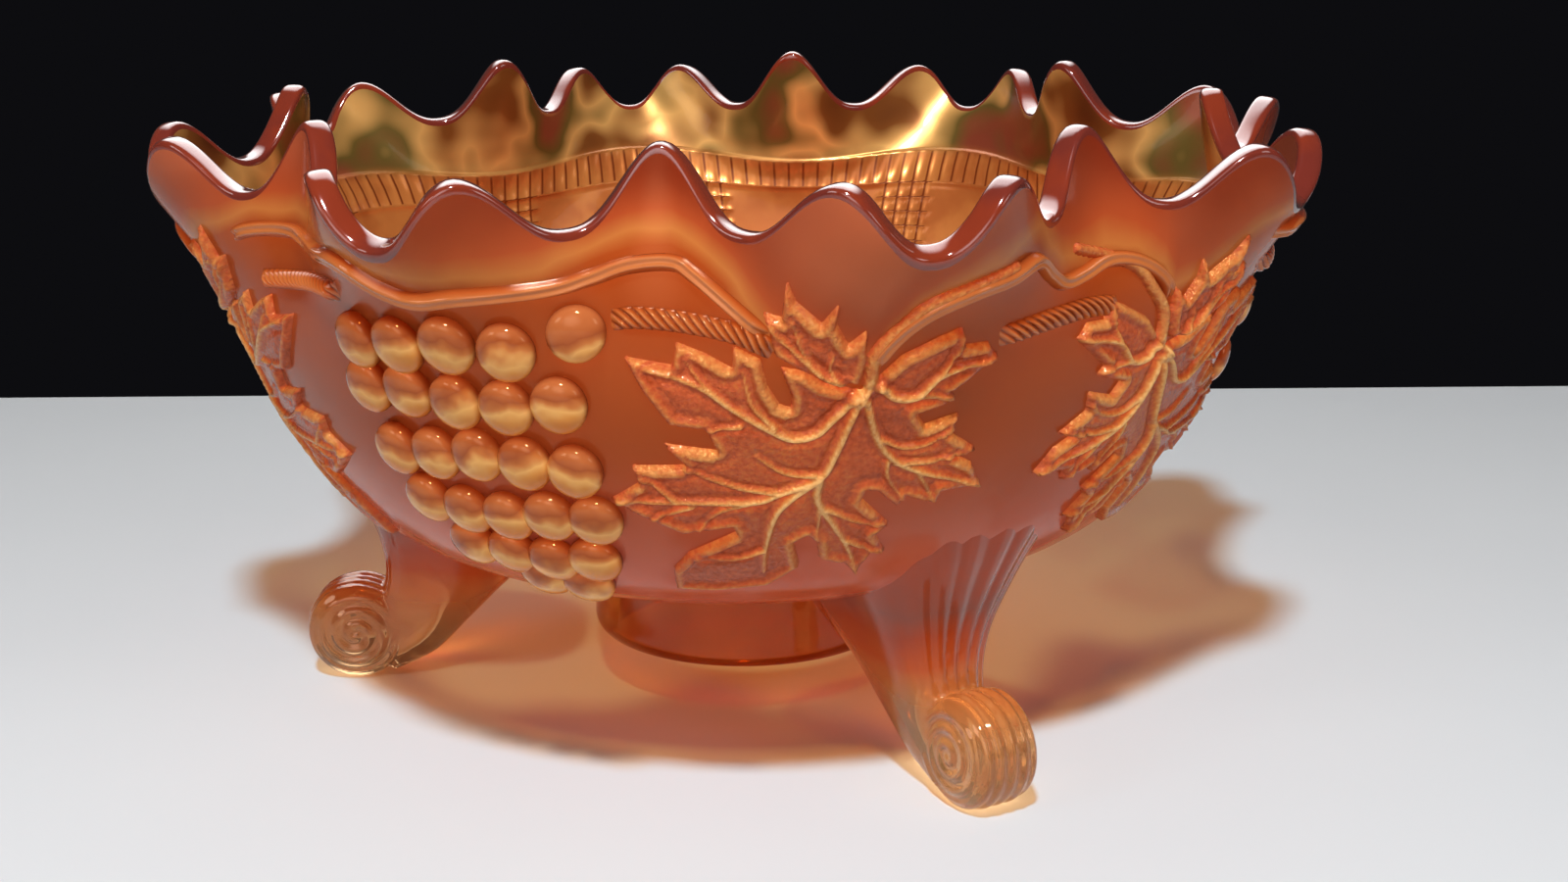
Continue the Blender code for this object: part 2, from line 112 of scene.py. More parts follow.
MAIN_VEIN_SIZE = (1.4, 0.75)  # height and half width of a vein where it starts
SIDE_VEIN_SIZE = (0.95, 0.5)
VEIN_TAPER = 0.5              # the share of its size that a vein loses on its way
HOLLOW_OFFSET = 1.9           # the hollow beside a vein, in half widths of the vein
HOLLOW_DEPTH = 0.5
STALK_HALF_WIDTH, STALK_NARROWS = 1.5, 0.4
STALK_STANDS, STALK_DROPS = 1.7, 0.5
# Painted light and shade: how far each feature goes from rust towards a gold highlight, or in a
# hollow towards dark shade.
EDGE_TONE, UPWARD_EDGE_TONE, LIP_TONE = 0.15, 0.35, 0.5
HOLLOW_TONE, VEIN_TONE, STALK_TONE = 0.75, 1.1, 0.35
LEAF_OUTLINE = [(-1, -2.5), (-8.5, -0.5), (-12, 2), (-16.5, 3), (-14, -3.5), (-14, -6),
                (-16.5, -5), (-19, -1), (-20.5, 4.5), (-25.5, 7), (-25.5, 2.5), (-31, 5.5),
                (-36.5, 7.5), (-37, 3), (-46.5, 4.5), (-42.5, -2.5), (-37, -9.5),
                (-30, -10.5), (-27.5, -15.5), (-38, -14), (-33.5, -19), (-44, -19.5),
                (-42.5, -23.5), (-48, -28), (-40.5, -32.5), (-33, -36.5), (-23.5, -34.5),
                (-22.5, -36.5), (-31.5, -43), (-34, -48), (-33, -55), (-25, -55.5),
                (-14.5, -53.5), (-9, -47), (-11, -39.5), (-8.5, -37.5), (-6, -40), (-5, -45),
                (0, -47), (3, -51), (5.5, -44), (8.5, -44.5), (5.5, -38.5), (8, -36),
                (1.5, -28.5), (2, -26), (4.5, -26.5), (9, -31), (10.5, -28.5), (17.5, -31.5),
                (18, -28), (27, -28), (24, -22), (20, -19.5), (24.5, -18.5), (18.5, -14),
                (19.5, -9.5), (12.5, -11.5), (10.5, -8.5), (18.5, -6), (17, -4), (26, 3),
                (23.5, 6), (18.5, 6), (17, 10), (13, 8.5), (6, 5), (2.5, 1)]
LEAFLET_OUTLINE = [(-2, -0.5), (-8, 0), (-14, 3.5), (-17.5, 5.5), (-19, 11), (-20, 14),
                   (-16.5, 13), (-16, 20), (-14.5, 16.5), (-9.5, 12), (-7, 16), (-7, 12),
                   (-4.5, 7.5), (-1.5, 10.5), (-1, 5), (-1.5, 1.5)]
# Veins: main ones first, each a line of (x, y) from where it leaves its parent.
MAIN_VEINS = [
    [(0.5, 0), (-2.5, -8), (-5, -16.5), (-7.5, -22), (-15, -25.5), (-20, -27.5),
     (-33.5, -27.5), (-46.5, -28)],
    [(-1, -2.5), (-6, -8), (-9, -11.5), (-13.5, -12.5), (-18.5, -10), (-25.5, -5.5),
     (-32, -1), (-41.5, 2)],
    [(-7.5, -22), (-12.5, -26.5), (-15.5, -31.5), (-16.5, -41), (-16, -48)],
    [(-7.5, -22), (-7.5, -27.5), (-3, -35.5), (0.5, -42.5), (3, -50)],
    [(0, -4.5), (2.5, -12.5), (6, -18), (12, -22), (26.5, -27.5)],
    [(2.5, -1.5), (5.5, -4), (10, -4), (14.5, 0.5), (25.5, 2.5)]]
SIDE_VEINS = [
    [(-15, -25.5), (-22.5, -24), (-29, -21.5), (-34.5, -19)],
    [(-8.5, -21.5), (-14.5, -20.5), (-20, -16.5)], [(-35, -27.5), (-39.5, -23.5), (-42.5, -22)],
    [(-20, -27.5), (-26.5, -30), (-30, -35)], [(-31.5, -28.5), (-36, -30.5), (-39.5, -32.5)],
    [(-25.5, -5.5), (-31, -0.5), (-34.5, 4)], [(-17, -10), (-21.5, -5), (-23.5, 2)],
    [(-23.5, -9.5), (-27.5, -10), (-30, -10.5)], [(-16.5, -41), (-22, -43.5), (-29.5, -44)],
    [(-5.5, -30), (2, -34.5), (7.5, -35.5)], [(-7, -29), (-6.5, -38.5)],
    [(-1.5, -38.5), (3.5, -42), (8.5, -44)], [(5.5, -19), (6, -23), (10, -29)],
    [(12, -22), (16.5, -30)], [(3.5, -13.5), (8.5, -16), (14, -15.5), (18.5, -12.5)],
    [(7, -19.5), (14.5, -20), (23.5, -18.5)], [(10, -4), (18.5, -5.5)],
    [(12.5, -1.5), (16, 4), (17.5, 9.5)], [(-4.5, -0.5), (-9, 2), (-12.5, 6.5), (-14.5, 13)],
    [(-9, 2), (-15.5, 8), (-19, 12)], [(-5, -0.5), (-7.5, 3), (-7, 6)]]
LEAF_STALK = [(0.5, -1), (1, 5.5), (5, 11), (9, 15.5), (16.5, 18.5), (26.5, 21)]

BUNCH_ANGLE = -26
# Rows of grapes: (distance up the wall, angle of the right-hand grape, number, pitch).
GRAPE_ROWS = [(121.5, 5.6, 4, 5.5), (109.8, 9.8, 5, 5.4), (96, 10.2, 5, 5.3),
              (82, 11.2, 5, 5.2), (70, 9.6, 4, 5.3), (62, 7.2, 2, 5.4)]
GRAPE_STRAY = 0.9             # how far grapes stray from an even row, in millimetres
GRAPE_HALF_WIDTH = 5.7
GRAPE_HALF_HEIGHT = 6.1
GRAPE_STANDS = 4.3
GRAPE_SINKS = 2.2
GRAPE_FLATNESS = 0.8          # 1 gives an oval section, less a flatter face
GRAPE_SIDES = 36
GRAPE_RINGS = 18
LONE_GRAPE = (-14, 125.4)
LONE_GRAPE_RADIUS = 5.8
LONE_GRAPE_SHADE = 0.5        # how far down the painted shade of its dark upper half comes

VINE_WIDTH = 2.3
VINE_LIFT = 2.0
VINE_MARGIN = 0.9             # what the ridge's foot adds at each side
VINE_SLOPE = 1.3
VINE_TAPER = 6                # length over which an end sinks into the wall
VINE_GROOVE_DEPTH, VINE_GROOVE_WIDTH = 0.28, 0.5
VINE_STEP = 0.5
RIBBON_COLUMNS = 23           # points across a vine or a stem
VINES = {"over_foot": [(12.3, 117), (13.2, 122), (15.1, 127.8), (17.3, 131.6), (20.6, 134.3),
                       (23.7, 135.5), (27.3, 137.6), (30, 134), (32.3, 131.4), (35.4, 132),
                       (39.2, 134), (43, 133), (46, 129), (47.5, 123)],
         "over_bunch": [(-62, 134.5), (-58.5, 137), (-52, 138), (-46, 137.4), (-39, 138.2),
                        (-34.2, 138.2), (-30, 133.4), (-27, 131.6), (-23.2, 132.7),
                        (-16.2, 134), (-12.9, 135.8), (-9.5, 138), (-5.4, 138.6),
                        (-3.4, 136.6), (-0.2, 131.4), (3.5, 124.5)]}
STEM_HALF_WIDTH = 2.2
STEM_LIFT = 2.3
STEM_MARGIN = 0.3
STEM_TAPER = 4
STEM_STEP = 0.2
STEM_SINKS = 0.1
STRAND_PITCH = 2.1
STRAND_SLANT = 1.1
STRAND_GROOVE = 0.65          # the grooves' depth, as a share of the stem's height
STEMS = {"by_grape": [(-11, 127.8), (-8.5, 128.2), (-3.9, 127.4), (0.5, 125.6), (3.8, 122.4)],
         "over_foot": [(24.5, 122.6), (27, 123.4), (31, 124.4), (36.4, 125.2), (40.2, 124.6)],
         "by_leaf": [(-57.4, 126.6), (-50, 128.4), (-44, 129.6), (-38.5, 129.8)]}

# Scroll foot, upright plane: (inner radius, height, outer radius, height, half width).
LEG_STATIONS = [(43, 40, 103.4, 66, 28), (46, 38, 100, 57, 22), (52, 32, 95.5, 47, 17.5),
                (61, 24, 92, 37, 13), (70.5, 14.5, 91, 28, 10.4), (79, 6.2, 93.5, 20, 8.5),
                (89, 1.2, 97, 12, 7.4)]
SCROLL_CENTRE = (98.5, 12.6)
SCROLL_RADIUS = 12.8
SCROLL_HALF_WIDTH = 7.6
SCROLL_EDGE = 2.2             # size of the rounding between its rim and its faces
SCROLL_BULGE = 1.6
SCROLL_EYE = 0.6              # radius where the spiral ends
SPIRAL_PITCH = 3.4
SPIRAL_DEPTH = 0.8
FLUTES = 7
FLUTE_DEPTH = 0.9
FLUTED_FROM = -0.2            # the flutes end just round the leg's sides
LEG_SQUARENESS = 0.7          # 1 gives an oval section, less a squarer one
RIB_PITCH = 3.1
RIB_DEPTH = 0.9
ROUNDNESS = 0.7               # under 1, crests are broad and grooves narrow
FLUTE_ROUNDNESS = 0.8
LEG_SIDES = 112
SCROLL_SIDES = 120
SCROLL_RIM_RINGS = 41
SCROLL_FACE_RINGS = 22
FOOT_VOXEL = 0.42
FOOT_SOFTENING = 3            # smoothing passes over the remeshed foot
FOOT_IN_WALL = 1.6            # how far the legs and the collar run into the wall
COLLAR_IN_WALL = 1.5
COLLAR_SIDES = 192

# The camera: where it stands, in millimetres, and how it is turned, in degrees.
CAMERA_PLACE = (9.68, -492.75, 191.84)
CAMERA_PITCH = -15.08
CAMERA_ROLL = -0.43
CAMERA_LENS = 46.82
TABLE_BACK_EDGE = 294
TABLE_HALF_WIDTH = 2500

# Lamps: name, place and width in metres, and watts. Each is turned to LAMP_AIM.
LAMPS = [("key", (-0.04, -0.72, 1.06), 0.09, 18.5),
         ("fill_left", (-1.3, -1.0, 0.8), 0.5, 3.2),
         ("fill_right", (1.3, -1.0, 0.8), 0.5, 2.6)]
LAMP_AIM = (0, 0, 0.08)
# Two bright patches in the dark room, which only reflections see.
CEILING_DIRECTION = (-0.05, 0.62, 0.78)
WINDOW_DIRECTION = (-0.25, -0.9, 0.36)
WINDOW_SHARE = 0.885          # under 1, the window is the smaller and dimmer patch
PATCH_FADES = (0.8, 0.94)     # cosines of the angles where a patch starts and is full
ROOM_GLOW = 0.04
PATCH_GLOW = 5
ROOM_COLOUR = (0.014, 0.014, 0.015, 1)         # what all but reflections get
BACKDROP_COLOUR = (0.004, 0.004, 0.005, 1)     # what the camera sees
# How the glass tints a lamp's light that passes through it.
WALL_LAMP = (222, 184, 136)
BASE_LAMP = (240, 214, 180)
RELIEF_LAMP = (251, 244, 236)                  # thin relief hardly tints it more


# ---- the wall's surface ----
def curve(knots, steps):
    """Points along a Catmull-Rom curve through knots with any number of values."""
    p = np.array(knots, float)
    p = np.vstack([2 * p[0] - p[1], p, 2 * p[-1] - p[-2]])
    t = (np.arange(steps) / steps)[:, None]
    spans = [0.5 * (2 * b + (c - a) * t + (2 * a - 5 * b + 4 * c - d) * t ** 2
                    + (3 * b - a - 3 * c + d) * t ** 3)
             for a, b, c, d in zip(p, p[1:], p[2:], p[3:])]
    return np.vstack(spans + [p[-2:-1]])


def lengths(points):
    """Length along a line of points, from its start."""
    return np.concatenate([[0], np.cumsum(np.linalg.norm(np.diff(points, axis=0), axis=1))])


PROFILE = curve(WALL_KNOTS, 160)
ARC = lengths(PROFILE)


def wall_radius(distance):
    return np.interp(distance, ARC, PROFILE[:, 0])


def wall_height(distance):
    return np.interp(distance, ARC, PROFILE[:, 1])


def phase(angle):
    """The ruffles' wave in radians: whole turns are where the wall folds inward."""
    return np.radians(RUFFLES * (angle - RUFFLE_ANGLE))


def rim_height(angle):
    swing = np.cos(phase(angle))
    crest = CREST_HEIGHT + CREST_SWING * swing
    valley = VALLEY_HEIGHT + VALLEY_SWING * swing
    wave = (1 + np.cos(SCALLOPS_PER_RUFFLE * phase(angle))) / 2
    return valley + (crest - valley) * wave ** SCALLOP_SHARPNESS


def around(angle, radius, height, sideways=0.0):
    """Points in millimetres from angles, radii, heights and sideways shifts."""
    a = np.radians(angle)
    return np.stack(np.broadcast_arrays(radius * np.sin(a) + sideways * np.cos(a),
                                        -radius * np.cos(a) + sideways * np.sin(a),
                                        height), axis=-1)


def smooth(t):
    """0 up to t = 0 and 1 from t = 1, with a soft start and end between."""
    t = np.clip(t, 0, 1)
    return t * t * (3 - 2 * t)


def bell(offset, width):
    """A rounded bump: 1 at no offset, falling away over width."""
    return np.exp(-(offset / width) ** 2)


def on_surface(angle, distance):
    """Points on the outer wall, with its folds and flare."""
    height = wall_height(distance)
    inward = np.cos(phase(angle))
    fold = RUFFLE_DEPTH * smooth((height - RUFFLE_START)
                                 / (RUFFLE_FULL - RUFFLE_START)) ** RUFFLE_LATENESS
    flare = FLARE_DEPTH * smooth((height - FLARE_START) / (FLARE_FULL - FLARE_START))
    radius = wall_radius(distance) - fold * inward + flare * (1 - inward) / 2
    return around(angle, radius, height)


def on_wall(angle, distance, lift):
    """Points lifted off the outer wall along its normal; a negative lift is inside."""
    step = 0.25
    low = np.maximum(distance - step, 0)
    across = on_surface(angle + step, distance) - on_surface(angle - step, distance)
    upward = on_surface(angle, low + 2 * step) - on_surface(angle, low)
    normal = np.cross(across, upward)
    normal /= np.linalg.norm(normal, axis=-1, keepdims=True)
    return on_surface(angle, distance) + normal * np.asarray(lift)[..., None]


# ---- meshes ----
def add_object(name, data):
    obj = bpy.data.objects.new(name, data)
    bpy.context.scene.collection.objects.link(obj)
    return obj


def new_piece(name, verts, faces, materials, replaced, tones=None):
    """A piece from points in millimetres; tones are named values for each point."""
    mesh = bpy.data.meshes.new(name)
    mesh.from_pydata((np.asarray(verts) * MM).tolist(), [], [list(map(int, f)) for f in faces])
    mesh.validate()
    mesh.update()
    for label, values in (tones or {}).items():
        layer = mesh.attributes.new(label, "FLOAT", "POINT")
        layer.data.foreach_set("value", np.asarray(values, np.float32).ravel())
    mesh.shade_smooth()
    for material in materials:
        mesh.materials.append(material)
    obj = add_object(name, mesh)
    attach(obj, "root")
    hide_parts(*replaced)
    return obj


def grid_faces(rows, cols, close_rows=False, close_cols=False):
    """Quads of a grid of points, row by row, closed round either way if asked."""
    i = np.arange(rows if close_rows else rows - 1)[:, None]
    j = np.arange(cols if close_cols else cols - 1)[None, :]
    m = (i + 1) % rows
    k = (j + 1) % cols
    quads = np.stack(np.broadcast_arrays(i * cols + j, i * cols + k, m * cols + k, m * cols + j),
                     axis=-1)
    return quads.reshape(-1, 4)


# ---- bowl wall ----
def tile_grooves(angle, distance):
    """Depth of the pressed tiles' pattern inside the wall, and where their joints are."""
    near_line = np.abs((angle / TILE_PITCH + 0.5) % 1 - 0.5) * TILE_PITCH
    upright = np.clip(1 - near_line / UPRIGHT_JOINT, 0, 1)
    off_middle = np.abs((angle - PANEL_MIDDLE + PANEL_PERIOD / 2) % PANEL_PERIOD
                        - PANEL_PERIOD / 2)
    in_panel = off_middle <= PANEL_HALF_WIDTH + PANEL_MARGIN
    in_band = (distance < BAND_TOP) & (distance > BAND_BOTTOM)
    in_rows = (distance <= BAND_BOTTOM) & (distance > BRICKS_END)
    level = np.abs(((BAND_BOTTOM - distance) / BRICK_HEIGHT + 0.5) % 1 - 0.5) * BRICK_HEIGHT
    flat = np.clip(1 - level / LEVEL_JOINT, 0, 1)
    joints = np.where(in_band, upright, 0)
    joints = np.where(in_rows & in_panel, np.maximum(upright, flat), joints)
    edge = np.minimum(np.abs(distance - BAND_TOP), np.abs(distance - BAND_BOTTOM))
    depth = np.maximum(joints, EDGE_GROOVE * np.clip(1 - edge / EDGE_JOINT, 0, 1))
    ledge = np.clip((BAND_TOP + LEDGE_RAMP / 2 - distance) / LEDGE_RAMP, 0, 1)
    return GROOVE_DEPTH * depth + LEDGE_DEPTH * ledge * (distance > LEDGE_END), joints


def inner_distances():
    """Distances of the inside's rows, close together at each groove."""
    marks = [BAND_TOP + 1.2, BAND_TOP + 0.5, BAND_TOP, BAND_TOP - JOINT_ROW, BAND_TOP - 4,
             BAND_TOP - 8]
    for row in range(BRICK_ROWS):
        line = BAND_BOTTOM - row * BRICK_HEIGHT
        marks += [line, line - JOINT_ROW, line - BRICK_HEIGHT / 2,
                  line - BRICK_HEIGHT + JOINT_ROW]
    return np.array(marks + list(np.linspace(BRICKS_END, INNER_START, FLOOR_ROWS)))


def vine_line(angle):
    """Distance up the wall of the lower edge of the plain band under the rim."""
    marks = sorted([(a % SECTION_TURN, s) for path in VINES.values() for a, s in path])
    return np.interp(angle % SECTION_TURN, [a for a, _ in marks], [s for _, s in marks],
                     period=SECTION_TURN)


def bowl_wall(materials):
    """The wall, floor and rim in one skin; its materials are outside, inside and rim."""
    angle = np.arange(COLUMNS) * 360 / COLUMNS
    rim = np.interp(rim_height(angle), PROFILE[:, 1], ARC)
    half = WALL_THICKNESS / 2
    top = rim - RIM_ROUND
    rows = []                     # each row's distances, lifts and joints
    for share in np.linspace(0, 1, OUTER_ROWS) ** ROW_CROWDING:
        distance = OUTER_START + (top - OUTER_START) * share
        rows.append((distance, np.zeros(COLUMNS), np.zeros(COLUMNS)))
    for turn in np.linspace(0, math.pi, RIM_STEPS + 2)[1:-1]:
        across = math.copysign(abs(math.cos(turn)) ** RIM_SQUARENESS, math.cos(turn))
        rise = RIM_ROUND * math.sin(turn) ** RIM_SQUARENESS
        rows.append((top + rise, np.full(COLUMNS, half * across - half), np.zeros(COLUMNS)))
    marks = inner_distances()
    for share in np.linspace(1, 0, PLAIN_ROWS, endpoint=False):
        distance = marks[0] + (top - marks[0]) * share
        rows.append((distance, np.full(COLUMNS, -WALL_THICKNESS), np.zeros(COLUMNS)))
    for mark in marks:
        distance = np.full(COLUMNS, mark)
        depth, joint = tile_grooves(angle, distance)
        rows.append((distance, -WALL_THICKNESS - depth + LEDGE_DEPTH, joint))
    verts = np.concatenate([on_wall(angle, d, lift) for d, lift, _ in rows])
    faces = [tuple(f) for f in grid_faces(len(rows), COLUMNS, close_cols=True)]
    far = 99                      # the floor's two middle points are far below the vine and rim
    rim_from = (OUTER_ROWS - 1) * COLUMNS
    inside_from = (OUTER_ROWS + RIM_STEPS) * COLUMNS
    slots = [2 if rim_from <= i < inside_from else int(i >= inside_from)
             for i in range(len(faces))]
    last = (len(rows) - 1) * COLUMNS
    centres = len(verts)
    verts = np.vstack([verts, (0, 0, FLOOR_HEIGHT), (0, 0, FLOOR_HEIGHT + WALL_THICKNESS)])
    for i in range(COLUMNS):
        j = (i + 1) % COLUMNS
        faces += [(j, i, centres), (last + i, last + j, centres + 1)]
        slots += [0, 1]
    above = np.concatenate([d - vine_line(angle) for d, _, _ in rows] + [[-far, -far]])
    below_rim = np.concatenate([rim - d for d, _, _ in rows] + [[far, far]])
    up = np.concatenate([d for d, _, _ in rows] + [[0, 0]])
    joints = np.concatenate([joint for _, _, joint in rows] + [[0, 0]])
    wall = new_piece("bowl_wall", verts, faces, materials, ["bowl_shell"],
                     {"above_vine": above, "below_rim": below_rim, "up": up, "joint": joints})
    wall.data.polygons.foreach_set("material_index", np.array(slots, np.int32))


def collar(material):
    """The ring under the floor, turned about Z."""
    top = FLOOR_HEIGHT + COLLAR_IN_WALL
    outer = COLLAR_RADIUS
    inner = COLLAR_RADIUS - COLLAR_THICKNESS
    low = COLLAR_BOTTOM
    section = curve([(outer + 2.2, top), (outer + 1, top - 3), (outer + 0.3, 26), (outer, 19),
                     (outer, low + 2.4), (outer - 0.9, low + 0.6), (outer - 2.4, low),
                     (inner + 1.4, low), (inner, low + 0.8), (inner - 0.8, low + 3),
                     (inner - 1.4, 24), (inner - 2, top)], 6)
    angle = np.arange(COLLAR_SIDES) * 360 / COLLAR_SIDES
    verts = np.concatenate([around(angle, r, z) for r, z in section])
    faces = grid_faces(len(section), COLLAR_SIDES, close_rows=True, close_cols=True)
    faces = faces[:, ::-1]        # a section that runs down its outer side winds them inward
    new_piece("collar_ring", verts, faces, [material], ["collar_base"])


# ---- relief that stands on the wall ----
def relief(name, place, height, materials, replaced, tones, flip):
    """A closed solid under a map of heights; points below the wall's skin are trimmed."""
    cols = height.shape[1]
    count = height.size
    keep = height > TRIMMED_BELOW
    cell = keep[:-1, :-1] | keep[1:, :-1] | keep[:-1, 1:] | keep[1:, 1:]
    top = grid_faces(height.shape[0], cols)[cell.ravel()]
    edges = np.concatenate([top[:, [k, (k + 1) % 4]] for k in range(4)])
    forward = edges[:, 0] * count + edges[:, 1]
    backward = edges[:, 1] * count + edges[:, 0]
    rim = edges[~np.isin(forward, backward)]
    sides = np.stack([rim[:, 1], rim[:, 0], rim[:, 0] + count, rim[:, 1] + count], axis=1)
    faces = np.concatenate([top, top[:, ::-1] + count, sides])
    verts = np.concatenate([place(np.maximum(height, SKIN_DEPTH)).reshape(-1, 3),
                            place(np.full_like(height, BURIED)).reshape(-1, 3)])
    used, faces = np.unique(faces, return_inverse=True)
    faces = faces.reshape(-1, 4)
    if flip:
        faces = faces[:, ::-1]
    kept = {label: np.concatenate([v.ravel(), v.ravel()])[used] for label, v in tones.items()}
    new_piece(name, verts[used], faces, materials, replaced, kept)


def outline_distance(x, y, outline):
    """Distance inside an outline, negative outside, and how far its nearest edge faces up."""
    best = np.full(x.shape, 1e9)
    facing = np.zeros(x.shape)
    inside = np.zeros(x.shape, bool)
    points = np.array(outline, float)
    turn = np.sign(np.sum(points[:, 0] * np.roll(points[:, 1], -1)
                          - points[:, 1] * np.roll(points[:, 0], -1)))
    for (ax, ay), (bx, by) in zip(points, np.roll(points, -1, axis=0)):
        dx, dy = bx - ax, by - ay
        t = np.clip(((x - ax) * dx + (y - ay) * dy) / (dx * dx + dy * dy), 0, 1)
        away = np.hypot(x - ax - t * dx, y - ay - t * dy)
        nearer = away < best
        best = np.where(nearer, away, best)
        facing = np.where(nearer, -turn * dx / math.hypot(dx, dy), facing)
        if by != ay:
            crosses = ((ay > y) != (by > y)) & (x < ax + (y - ay) * dx / dy)
            inside ^= crosses
    return np.where(inside, best, -best), facing


def line_distance(x, y, line):
    """Distance from a line of points, and the share of the way along it."""
    points = curve(line, 5)
    along = lengths(points)
    best = np.full(x.shape, 1e9)
    share = np.zeros(x.shape)
    for (ax, ay), (bx, by), start, end in zip(points, points[1:], along, along[1:]):
        dx, dy = bx - ax, by - ay
        t = np.clip(((x - ax) * dx + (y - ay) * dy) / (dx * dx + dy * dy), 0, 1)
        away = np.hypot(x - ax - t * dx, y - ay - t * dy)
        nearer = away < best
        best = np.where(nearer, away, best)
        share = np.where(nearer, (start + t * (end - start)) / along[-1], share)
    return best, share


def leaf_map():
    """Grid, heights and tones of one vine leaf with its leaflet, stalk and veins.

    A tone over 0 is painted light on a raised line or an upward edge; under 0 it is painted shade
    in a hollow.
    """
    xs = np.arange(-50, 29, RELIEF_STEP)
    ys = np.arange(-57.5, 23, RELIEF_STEP)
    x, y = np.meshgrid(xs, ys)
    ridge = np.zeros(x.shape)
    hollow = np.zeros(x.shape)
    for veins, (stands, width) in ((MAIN_VEINS, MAIN_VEIN_SIZE),
                                   (SIDE_VEINS, SIDE_VEIN_SIZE)):
        for vein in veins:
            away, share = line_distance(x, y, vein)
            taper = 1 - VEIN_TAPER * share
            ridge = np.maximum(ridge, stands * taper * bell(away, width * taper))
            hollow = np.maximum(hollow, taper * bell(away - HOLLOW_OFFSET * width, width))
    height = np.full(x.shape, NO_RELIEF)
    tone = np.zeros(x.shape)
    for outline, stands in ((LEAF_OUTLINE, LEAF_STANDS), (LEAFLET_OUTLINE, LEAFLET_STANDS)):
        inside, facing = outline_distance(x, y, outline)
        bevel = LEAF_BEVEL + UPWARD_BEVEL * np.clip(facing, 0, 1)
        sheet = RELIEF_EDGE + (stands - RELIEF_EDGE) * smooth((inside + LEAF_SKIRT) / bevel)
        lip = bell(inside - bevel - LIP_INSET, LIP_WIDTH)
        dip = bell(inside - bevel - DIP_INSET, DIP_WIDTH)
        on_leaf = inside > -LEAF_SKIRT
        sheet = np.where(on_leaf, sheet + LIP_HEIGHT * lip - DIP_DEPTH * dip, NO_RELIEF)
        height = np.maximum(height, sheet)
        # Painted highlight on the sloping edge, stronger where it faces up and turning to painted
        # shade where it faces down; a highlight on the lip and shade in the dip.
        edge = bell(inside - 0.5 * bevel, 0.6 * bevel) * (EDGE_TONE + UPWARD_EDGE_TONE * facing)
        tone = np.where(on_leaf, edge + LIP_TONE * lip - LIP_TONE * dip, tone)
    leafy = smooth((height + 0.1) / 1.2)                     # veins stop at the leaf's edge
    sunk = hollow * (1 - np.clip(ridge / 0.4, 0, 1))         # no hollow across another vein
    height += leafy * (ridge - HOLLOW_DEPTH * sunk)
    # Painted shade in the hollows beside the veins.
    tone -= HOLLOW_TONE * sunk
    away, share = line_distance(x, y, LEAF_STALK)
    reach = STALK_HALF_WIDTH - STALK_NARROWS * share
    stalk = (STALK_STANDS - STALK_DROPS * share) * np.sqrt(np.clip(1 - (away / reach) ** 2, 0, 1))
    height = np.maximum(height, np.where(away < reach, stalk, NO_RELIEF))
    # Painted highlights along the veins and on the stalk's round top.
    tone = np.maximum(tone, VEIN_TONE * np.clip(ridge / 0.9, 0, 1) - 0.15)
    return x, y, height, np.maximum(tone, np.clip(STALK_TONE * stalk, 0, 1))


def leaves(material):
    """In each third, a leaf on one side of the foot and its mirror image on the other."""
    x, y, height, tone = leaf_map()
    distance = LEAF_FOOT + y
    turn = np.degrees(x / wall_radius(distance))
    for section, start in SECTIONS.items():
        for label, middle, mirror in (("vine_leaf_", LEAF_ANGLE, 1),
                                      ("mirrored_leaf_", MIRRORED_LEAF_ANGLE, -1)):
            angle = start + middle + mirror * turn
            relief("moulded_" + label + section,
                   lambda lift, angle=angle: on_wall(angle, distance, lift), height, [material],
                   [label + section], {"tone": tone}, flip=mirror < 0)


def ball(angle, distance, half_width, half_height, stands, sinks):
    """Points and faces of an oval ball set into the wall."""
    theta = np.linspace(0, math.pi, GRAPE_RINGS + 1)[1:-1, None]
    spin = np.arange(GRAPE_SIDES)[None, :] * 2 * math.pi / GRAPE_SIDES
    middle = (stands - sinks) / 2
    tall = (stands + sinks) / 2
    face = np.sign(np.cos(theta)) * np.abs(np.cos(theta)) ** GRAPE_FLATNESS
    lift = middle + tall * face + 0 * spin
    x = half_width * np.sin(theta) * np.cos(spin)
    y = half_height * np.sin(theta) * np.sin(spin)
    turn = np.degrees(x / wall_radius(distance))
    verts = on_wall(angle + turn, distance + y, lift).reshape(-1, 3)
    ends = [on_wall(np.array(angle, float), np.array(distance, float), np.array(end, float))
            for end in (stands, -sinks)]
    verts = np.vstack([verts, ends[0], ends[1]])
    faces = [tuple(f[::-1]) for f in grid_faces(GRAPE_RINGS - 1, GRAPE_SIDES, close_cols=True)]
    top, bottom = len(verts) - 2, len(verts) - 1
    last = (GRAPE_RINGS - 2) * GRAPE_SIDES
    for i in range(GRAPE_SIDES):
        j = (i + 1) % GRAPE_SIDES
        faces += [(top, i, j), (bottom, last + j, last + i)]
    # Tones for painted light and shade: the height over the wall sets a dark edge, the height
    # across a dark top over a bright lower half.
    tones = {"tone": np.append((lift / stands).ravel(), (1, -1)),
             "drop": np.append((y / half_height).ravel(), (0, 0))}
    return verts, faces, tones


